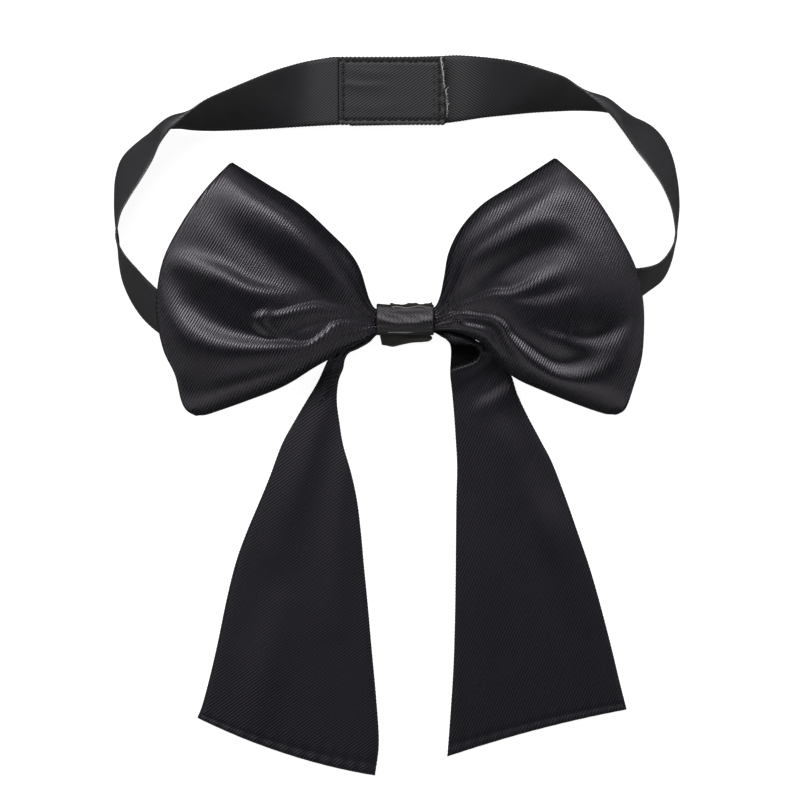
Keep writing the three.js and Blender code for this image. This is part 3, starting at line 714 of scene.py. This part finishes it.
def right_tail_height(x, y, u, v):
    # the cloth comes down from the knot, doubles back in a hairpin and leaves a pocket open to the left
    pocket_top, pocket_bottom = pocket_edges(x)
    across_pocket = (y - (pocket_top + pocket_bottom) / 2) / np.maximum((pocket_top - pocket_bottom) / 2, 0.8)
    from_pocket = np.hypot(np.maximum(x - 17.4, 0) / 2.5, across_pocket)
    above = smooth(-0.6, 0.4, across_pocket)
    beyond = np.maximum(from_pocket - 1.08, 0) / (1.15 + 0.95 * above)
    strip = above * smooth(8.5, 13.0, x) * smooth(20.5, 17.5, x)
    rim = (1.7 + 0.6 * above + 2.3 * strip) * np.exp(-(beyond**2))
    z = 1.25 + rim * (1 - 1.05 * smooth(1.16, 0.84, from_pocket))
    z = z + smooth(11.5, 8.5, x) * smooth(-7.5, -4, y) * 0.4
    sheen = [(18.5, -23.0, 0.1, 1.4, 3.4), (21.0, -21.2, 0.8, 1.6, 4.0), (24.4, -18.8, 1.4, 1.8, 4.5),
             (28.0, -16.0, 1.5, 1.8, 4.5), (31.0, -13.5, 0.8, 1.8, 4.5)]
    z = z + steps(x, y, [sheen], 1)
    lines = [
        [(23.0, -24.0, 0.1, 2.4, 3.2), (26.5, -32.0, 0.5, 3.2, 4.0), (30.0, -46.0, 0.2, 4.0, 5.0)],
        [(33.5, -44.0, 0.2, 4.0, 3.0), (38.5, -55.0, 0.8, 5.5, 4.0), (43.5, -66.0, 0.5, 6.0, 4.0),
         (47.0, -78.0, 0.2, 5.0, 4.0)],
        [(17.0, -50.0, 0.1, 3.0, 3.0), (19.0, -70.0, 0.5, 4.0, 4.0), (21.0, -92.0, 0.4, 4.0, 4.0),
         (22.0, -110.0, 0.3, 4.0, 4.0)],
    ]
    return np.maximum(z + ridges(x, y, lines), 0.95)


def paint_pocket_shade(piece):
    """Inside the right tail's pocket the faces get a near-black material: painted shade for the hollow."""
    mesh = piece.data
    mesh.materials.append(POCKET_PAINTED_SHADE)
    centre = np.empty(3 * len(mesh.polygons))
    mesh.polygons.foreach_get("center", centre)
    x, y, z = centre.reshape(-1, 3).T / MM
    top, bottom = pocket_edges(x)
    inside = (z < 2.2) & (x > 11.5) & (x < 20) & (y < top + 0.2) & (y > bottom)
    which = np.empty(len(mesh.polygons), np.int32)
    mesh.polygons.foreach_get("material_index", which)
    mesh.polygons.foreach_set("material_index", np.where(inside, len(mesh.materials) - 1, which))


def add_tail(side, stations, end_bow, height, material, hinge):
    """The front ply runs from inside the knot to the end; the back ply starts at the hinge line."""
    body = "tail_" + side
    plan, u, v, along = tail_plan(stations, end_bow)
    x, y = plan[..., 0], plan[..., 1]
    z = height(x, y, u, v)
    # the end is turned and sewn, which draws it into small puckers
    to_end = (along[-1] - along)[:, None]
    pucker = 0.16 * np.sin(2 * math.pi * v * 13 + np.sin(7 * v)) * hump(to_end, 3.5)
    edge = np.minimum(v, 1 - v) * norm(plan[:, -1] - plan[:, 0], axis=-1)[:, None]
    dip = 0.12 * hump(to_end - SEAM_INSET, 0.7)
    dip = dip + 0.22 * hump(edge, 0.9) * smooth(0.12, 0.2, u)
    grid = raise_plan(plan, z + pucker - dip)
    seam_line = grid[int(np.argmin(np.abs(to_end[:, 0] - SEAM_INSET))), 2:-2]
    front = cloth(body + "_front_ply", grid, 0.6, [material, SATIN_REVERSE])
    if side == "right":
        paint_pocket_shade(front)
        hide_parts("right_tail_front", "right_tail_turn", "right_tail_shoulder", "tail_core")
    else:
        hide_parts("left_tail_front", "left_tail_neck")
    x0, start, end = hinge
    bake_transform(front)

    # the back ply lies under it and shows a little beyond its edges
    first = int(np.argmax(y.max(axis=1) < end - 0.8))
    plan = plan[first:].copy()
    middle = (plan[:, :1] + plan[:, -1:]) / 2
    plan = middle + (plan - middle) * (1.012 + 0.008 * np.sin(along[first:] / 9))[:, None, None]
    plan = plan[:, ::3]
    back_z = 0.36 + 0.3 * np.maximum(z[first:, ::3] - 1.25, 0)
    grid = raise_plan(plan, back_z)
    back = cloth(body + "_back_ply", grid, 0.55, [SATIN_REVERSE, material])
    attach(back, side + "_tail_back", body)

    seam = stitches(body + "_end_seam", seam_line, 2.3, 0.32, 0.36)
    attach(seam, side + "_tail_end_stitch", body)


# ---- stitches ----
def stitches(name, path, pitch, width, lift):
    """A row of separate stitches along path: each rises out of the cloth, swells and goes back in."""
    path = np.asarray(path, float)
    length = travel(path)
    count = max(2, round(length[-1] / pitch))
    vertices, faces, uv = [], [], []
    rings, sides = 9, 8  # of each stitch
    for k in range(count):
        wobble = 0.10 * math.sin(k * 2.4) * pitch
        start = (k + 0.10) * length[-1] / count + wobble
        end = (k + 0.84) * length[-1] / count + wobble
        base = len(vertices)
        t = np.linspace(0, 1, rings)
        at = np.clip(start + (end - start) * t, 0, length[-1])
        centre = np.stack([np.interp(at, length, path[:, i]) for i in range(3)], axis=-1)
        ahead = centre[-1] - centre[0]
        ahead /= norm(ahead)
        sideways = np.cross(ahead, (0, 0, 1))
        sideways /= norm(sideways)
        arch = np.sqrt(np.clip(1 - (2 * t - 1) ** 2, 0, 1))
        centre[:, 2] += lift * (arch - 0.55)
        centre += sideways * (0.05 * math.sin(k * 5.1))
        for ring in range(rings):
            radius = width / 2 * (0.45 + 0.55 * arch[ring])
            for side in range(sides):
                a = 2 * math.pi * side / sides
                out = math.cos(a) * sideways + 0.8 * math.sin(a) * np.array((0, 0, 1))
                vertices.append(centre[ring] + radius * out)
                uv.append((radius * a, at[ring]))
        close_tube(faces, base, rings, sides)
    return make_mesh(name, vertices, faces, uv, [THREAD])


# ---- the neckband ----
BAND_WIDTH = 18.0
BAND_ROWS, BAND_COLUMNS = 620, 26
# Each station: x, y of the low edge, then x, y of the high edge. At the two twists, also how far the
# ribbon's middle bows sideways.
BAND_LEFT = [
    (-0.2, -2.4, -0.2, 2.4), (-7.8, -2.4, -7.8, 2.4), (-11, -3.4, -11, 3.8), (-20, -7.6, -20, 8.6),
    (-34, -9, -34, 9), (-46, -8.6, -44.5, 8.2), (-56, -7.2, -52.5, 6.8), (-63.5, -4.4, -58.5, 6),
    (-68.5, -0.6, -63, 6.6), (-72.2, 4.2, -66.6, 9.4), (-74.7, 9.8, -70.2, 13.3),
    (-75.6, 15.6, -73.4, 17.2), (-75.8, 21.2, -75, 21.2), (-76.5, 25.6, -74.2, 26.8),
    (-76.9, 31.5, -72.2, 30.8), (-76.7, 37.5, -69, 36), (-74.9, 42.9, -66, 41.1),
    (-70.5, 47.2, -63.9, 45.4), (-65.5, 50, -61.4, 48.8, -0.7, 1.3),
    (-60.2, 50.6, -59.4, 50.6, -1.1, 2.3), (-56.5, 50.3, -56.3, 53.5, -0.6, 1.5),
    (-52.5, 50.2, -52.2, 57), (-46, 50.3, -44.5, 60.7), (-36.5, 50.6, -36, 64.4), (-27, 51, -27.4, 67.8),
    (-20, 51.3, -20, 69.25), (-17.5, 51.4, -17.5, 69.4)]
BAND_RIGHT = [
    (0.2, -2.4, 0.2, 2.4), (7.8, -2.4, 7.8, 2.4), (11, -3.4, 11, 3.8), (20, -4.9, 20, 8.6),
    (32, -9, 32, 9), (44, -6.4, 43, 10.4), (53, -1.6, 50.5, 11.6), (59.5, 4, 57, 12.8),
    (64, 7.3, 62.5, 13.4), (68, 10.6, 66.1, 14.6), (70.3, 15.4, 68.8, 17.4), (71.6, 21.3, 70.5, 21.3),
    (72.3, 26, 70.1, 26.5), (72.7, 30.5, 69, 30.5), (72.3, 36.5, 66.8, 35), (70.9, 43, 63.4, 40),
    (68.4, 48.2, 60.4, 43.9), (64.5, 52, 57, 48.8), (59, 53.9, 54, 52.4, 0.6, 1.3),
    (52.2, 55.2, 51.2, 55.2, 1, 2.6), (46, 55.4, 46.4, 59.2, 0.5, 1.5), (41, 55.2, 41.9, 62.7),
    (33.5, 54.8, 36.6, 64.9), (27.5, 54.3, 28.9, 67.6), (21, 53.6, 22, 69.2), (14.5, 52.6, 14.5, 70.1),
    (8, 51.9, 8, 69.9), (-3, 51.6, -3, 69.6), (-14.6, 51.4, -14.6, 69.4)]
# Height of the ribbon behind the knot, on the table and under the closure's flap.
KNOT_BAND_Z, TABLE_BAND_Z, FLAP_BAND_Z = 1.5, 0.4, 3.9


def band_grid(stations, base, flat):
    """Half of the neckband; base gives the height of its low edge, flat where it lies down."""
    low = curve([s[:2] for s in stations], by_station=True)
    high = curve([s[2:4] for s in stations], by_station=True)
    bow = curve([s[4:] or (0, 0) for s in stations], by_station=True)

    def rise(a, b):
        span = norm(b - a, axis=-1)
        return (1 - flat(a[..., 0], a[..., 1])) * np.sqrt(np.maximum(BAND_WIDTH**2 - span**2, 0))

    dense = np.linspace(0, 1, 4000)
    a, b = low(dense), high(dense)
    middle_z = base(a[:, 0], a[:, 1]) + rise(a, b) / 2
    middle = raise_plan((a + b) / 2, middle_z)
    length = travel(middle)
    along = np.linspace(0, length[-1], int(BAND_ROWS * FINE))
    u, v = np.meshgrid(np.interp(along, length, dense), shares(BAND_COLUMNS), indexing="ij")
    a, b = low(u), high(u)
    plan = a + (b - a) * v[..., None] + bow(u) * (4 * v * (1 - v))[..., None]
    # the upper edge leans over, most of all at the two corners where the ribbon twists
    lean = 0.15 + 0.35 * np.minimum(norm(bow(u), axis=-1), 1)
    z = base(a[..., 0], a[..., 1]) + rise(a, b) * (v + lean * (v - v**3))
    grid = raise_plan(plan, z)
    across = grid[:, -1] - grid[:, 0]
    across /= norm(across, axis=-1, keepdims=True)
    picot = (0.07 * np.cos(2 * math.pi * along / PICOT_PITCH))[:, None] * across
    grid[:, 0] -= picot
    grid[:, -1] += picot
    return grid, along, v


def add_band(side, stations, base, flat):
    """Half of the neckband: it starts behind the knot."""
    grid, along, v = band_grid(stations, base, flat)
    # gathers where the knot squeezes the ribbon, and slow unevenness along the rest of it
    x = grid[..., 0]
    squeeze = smooth(26, 9, np.abs(x)) * (np.abs(grid[..., 1]) < 12)
    grid[..., 2] += 0.32 * squeeze * np.cos(2 * math.pi * 3 * v)
    loose = smooth(60, 80, along) * smooth(along[-1], along[-1] - 40, along)
    ripple = 0.16 * np.sin(along / 7.3 + 1.2) * np.sin(along / 17.0) * loose
    grid += surface_normals(grid) * ripple[:, None, None]
    uv = np.stack([np.ones_like(v) * along[:, None], BAND_WIDTH * v], axis=-1)
    name = "neckband_" + side
    # the band's front faces take the lighter copy of the ribbon, a painted highlight
    band = cloth(name + "_ribbon", grid, 0.6, [RIBBON_PAINTED_GLEAM, RIBBON], uv=uv, edge=0.35)
    nodes = [name] + (["neckband_middle"] if side == "left" else [])
    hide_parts(*nodes)
    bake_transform(band)


def middle_base(x):
    return KNOT_BAND_Z + (TABLE_BAND_Z - KNOT_BAND_Z) * smooth(11, 26, np.abs(x))


def left_base(x, y):
    strap = TABLE_BAND_Z + (FLAP_BAND_Z - TABLE_BAND_Z) * smooth(-42, -18, x)
    return np.where(y > 21, strap, middle_base(x))


def right_base(x, y):
    return np.where(y > 21, TABLE_BAND_Z, middle_base(x))


def left_flat(x, y):
    """1 where the ribbon lies flat, 0 where it stands up as far as its width in the plan view tells."""
    return np.where(y > 21, smooth(-37, -21, x), np.abs(x) < 30)


def right_flat(x, y):
    return np.where(y > 21, smooth(33, 11, x), np.abs(x) < 30)


# ---- the closure ----
FLAP_START = -17.5
LOOSE_ENDS = 34  # along the flap's cut end
ROW_LEFT, ROW_RIGHT, ROW_LOW, ROW_HIGH = -16.2, 9.2, 52.7, 68.1  # the stitched rectangle


def add_closure():
    """The flap at the end of the left strap, its stitches and frays, and the two tapes."""
    low, high = box_mm("closure_flap")
    s, v = grid_uv(190, 110)
    x = FLAP_START + (high[0] - FLAP_START) * s
    y = low[1] + (high[1] - low[1]) * v
    # puckers drawn in by the four rows of stitches, and the slight drag between them
    from_rows = np.minimum(np.minimum(abs(x - ROW_LEFT), abs(x - ROW_RIGHT)),
                           np.minimum(abs(y - ROW_LOW), abs(y - ROW_HIGH)))
    z = FLAP_BAND_Z - 0.22 * hump(from_rows, 0.45)
    z = z + ridges(x, y, [
        [(-16.0, 66.0, 0.04, 0.9, 1.2), (-9.0, 65.2, 0.10, 1.2, 1.6), (-3.0, 65.0, 0.03, 1.2, 1.4)],
        [(-16.2, 62.4, 0.10, 0.7, 0.9), (-11.0, 61.7, 0.14, 0.9, 1.3), (-5.0, 61.9, 0.04, 1.0, 1.4)],
        [(-16.0, 56.5, 0.04, 0.9, 1.2), (-8.0, 56.0, 0.06, 1.4, 1.4), (2.0, 56.6, 0.02, 1.4, 1.4)],
    ])
    z = z + 0.12 * np.sin(y * 2.1) * np.exp(-(high[0] - x) / 1.2)
    y = y + 0.10 * np.cos(2 * math.pi * x / 1.1) * (np.abs(v - 0.5) > 0.499) * np.sign(v - 0.5)
    x = x + 0.10 * np.sin(y * 5.7) * (s > 0.995)
    grid = np.stack([x, y, z], axis=-1)
    uv = np.stack([x + 200, y - low[1]], axis=-1)
    flap = cloth("closure_flap_ribbon", grid, 0.7, [RIBBON, RIBBON], uv=uv, edge=0.35)
    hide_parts("closure_flap")
    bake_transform(flap)
    add_frays()

    add_row("low", (ROW_LEFT, ROW_LOW), (ROW_RIGHT + 0.4, ROW_LOW))
    add_row("high", (ROW_LEFT, ROW_HIGH), (ROW_RIGHT + 0.4, ROW_HIGH))
    add_row("left", (ROW_LEFT, ROW_LOW), (ROW_LEFT, ROW_HIGH))
    add_row("right", (ROW_RIGHT, ROW_LOW), (ROW_RIGHT, ROW_HIGH))
    add_row("end", (ROW_RIGHT - 1.5, ROW_LOW + 0.6), (ROW_RIGHT - 1.5, ROW_HIGH - 0.6))
    add_tape("hook_tape", "flap", 0.55)
    add_tape("loop_tape", "strap_right", 0.8)


def add_row(name, start, end):
    """One row of the stitches that hold the tape under the flap."""
    t = np.linspace(0, 1, 60)[:, None]
    path = np.array(start) * (1 - t) + np.array(end) * t
    path = np.concatenate([path, np.full((60, 1), FLAP_BAND_Z + 0.16)], axis=-1)
    row = stitches("patch_stitches_" + name, path, 1.9, 0.36, 0.42)
    attach(row, "patch_stitch_" + name, "flap")


def add_frays():
    """The flap's cut end: a pale weft thread pulled along it, and short ends that have worked loose."""
    rng = np.random.default_rng(7)
    vertices, faces, uv = [], [], []
    end = curve([(9.5, 69.3), (9.8, 66.8), (10.2, 64.4), (10.3, 62.2), (10.9, 60.2), (11.1, 57.6),
                 (11.2, 54.4), (11.0, 52.2)])
    # each length of the weft thread: where it starts and ends along the cut, and its radius
    lengths = [(0.0, 0.24, 0.17), (0.21, 0.47, 0.14), (0.50, 0.60, 0.12), (0.66, 0.71, 0.09),
               (0.75, 0.80, 0.10), (0.86, 0.89, 0.08)]
    for first, last, radius in lengths:
        t = np.linspace(first, last, 22)
        path = end(t)
        path[:, 0] += 0.10 * np.sin(90 * t) + rng.normal(0, 0.02, len(t))
        height = FLAP_BAND_Z + 0.42 + 0.10 * np.sin(70 * t + 1)
        tube(vertices, faces, uv, raise_plan(path, height), radius)
    for k in range(LOOSE_ENDS):
        start = end(0.02 + 0.9 * (k + 0.5 * rng.random()) / LOOSE_ENDS)
        reach, lean = 0.3 + 0.8 * rng.random() ** 2, rng.normal(0, 0.5)
        rise = 0.1 + 0.3 * rng.random()
        t = np.linspace(0, 1, 6)
        height = FLAP_BAND_Z + 0.30 + rise * np.sin(2.4 * t)
        centre = np.stack([start[0] - 0.3 + reach * t, start[1] + lean * t * t, height], axis=-1)
        tube(vertices, faces, uv, centre, 0.06)
    frays = make_mesh("flap_loose_threads", vertices, faces, uv, [FRAY])
    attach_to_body(frays, "flap")
    return frays


def add_tape(node, body, rough):
    """A woven tape whose face stands up in rows of short hooks or a low pile."""
    low, high = box_mm(node)
    s, v = grid_uv(120, 80)
    x = low[0] + (high[0] - low[0]) * s
    y = low[1] + (high[1] - low[1]) * v
    middle = (low[2] + high[2]) / 2
    nap = 0.10 * rough * np.sin(2 * math.pi * x / 0.9) * np.sin(2 * math.pi * y / 0.9)
    grid = np.stack([x, y, middle + nap], axis=-1)
    tape = cloth(node + "_pile", grid, (high[2] - low[2]) - 0.16, [TAPE, TAPE], edge=0.3)
    attach(tape, node, body)


add_knot()
add_bundle()
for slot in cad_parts["gather_thread"].material_slots:
    slot.material = THREAD
# a tail's last argument: its hinge's x, and the y where its front ply starts and ends its bend
add_tail("left", TAIL_LEFT, 1.9, left_tail_height, SATIN_TAIL_LEFT, (-19.8, -10.2, -16.4))
add_tail("right", TAIL_RIGHT, -0.9, right_tail_height, SATIN_TAIL_RIGHT, (20.3, -14.6, -17.6))
add_band("left", BAND_LEFT, left_base, left_flat)
add_band("right", BAND_RIGHT, right_base, right_flat)
add_closure()

# ---- camera, floor and light ----
# The camera looks straight down, and its frame is 212 mm wide at the table.
FRAME_WIDTH = 0.212
FRAME_CENTRE = Vector((-0.0013, -0.0212, 0.0))
CAMERA_HEIGHT = 1.0
SENSOR_WIDTH = 36

camera_data = bpy.data.cameras.new("camera")
camera_data.sensor_width = SENSOR_WIDTH
camera_data.lens = SENSOR_WIDTH * CAMERA_HEIGHT / FRAME_WIDTH
camera = bpy.data.objects.new("camera", camera_data)
camera.location = FRAME_CENTRE + Vector((0, 0, CAMERA_HEIGHT))
show(camera)
bpy.context.scene.camera = camera


def paper(name, material_name, vertices, faces, strength, roughness):
    """Pale paper with a glow of its own, staged round the bow."""
    material, *_, shader = node_material(material_name)
    put(shader, {"Base Color": (0.6, 0.6, 0.6, 1), "Roughness": roughness,
                 "Emission Color": (1, 1, 1, 1), "Emission Strength": strength})
    mesh = bpy.data.meshes.new(name)
    mesh.from_pydata(vertices, [], faces)
    mesh.materials.append(material)
    return bpy.data.objects.new(name, mesh)


def add_floor(side):
    corners = [(-side, -side, 0), (side, -side, 0), (side, side, 0), (-side, side, 0)]
    floor = paper("floor", "paper_floor", corners, [(0, 1, 2, 3)], 0.92, 0.9)
    floor.location.z = CAD_LOW.z - 0.0002
    floor.visible_glossy = False  # the satin's edges would mirror it as pale outlines
    show(floor)


def add_wall(name, radius, height, strength, seen):
    """A ring of paper round the table. Seen by the camera only, or only as light and reflection."""
    angle = np.linspace(0, 2 * math.pi, 96, endpoint=False)
    ring = np.stack([radius * np.cos(angle), radius * np.sin(angle), 0 * angle], axis=-1)
    index = np.arange(len(angle))
    after = np.roll(index, -1)
    faces = np.stack([index, after, after + len(angle), index + len(angle)], axis=-1).tolist()
    vertices = np.concatenate([ring, ring + [0, 0, height]]).tolist()
    wall = paper(name, name + "_paper", vertices, faces, strength, 0.5)
    wall.visible_camera = seen
    wall.visible_diffuse = wall.visible_glossy = not seen
    wall.visible_shadow = False
    show(wall)


def add_light(name, location, target, size, energy):
    data = bpy.data.lights.new(name, "AREA")
    data.shape = "RECTANGLE"
    data.size, data.size_y = size
    data.energy = energy
    light = bpy.data.objects.new(name, data)
    light.location = location
    direction = Vector(target) - Vector(location)
    light.rotation_euler = direction.to_track_quat("-Z", "Y").to_euler()
    show(light)


add_floor(3.0)
add_wall("backdrop", 2.6, 1.4, 0.95, True)
add_wall("reflector", 2.2, 1.1, 0.17, False)
add_light("softbox_top", (-0.05, 0.62, 0.82), (0, 0, 0), (0.7, 0.3), 6.0)
add_light("softbox_left", (-0.60, 0.30, 0.82), (0, 0, 0), (0.25, 0.5), 1.5)
add_light("softbox_right", (0.70, 0.02, 0.82), (0, 0, 0), (0.25, 0.5), 0.4)
add_light("softbox_front", (-0.1, -0.92, 0.55), (0, -0.05, 0), (0.7, 0.3), 0.55)
world = bpy.data.worlds.new("studio")
world.use_nodes = True
put(world.node_tree.nodes["Background"], {"Color": (1, 0.97, 0.88, 1), "Strength": 0.03})
bpy.context.scene.world = world
bpy.context.scene.view_settings.view_transform = "Standard"
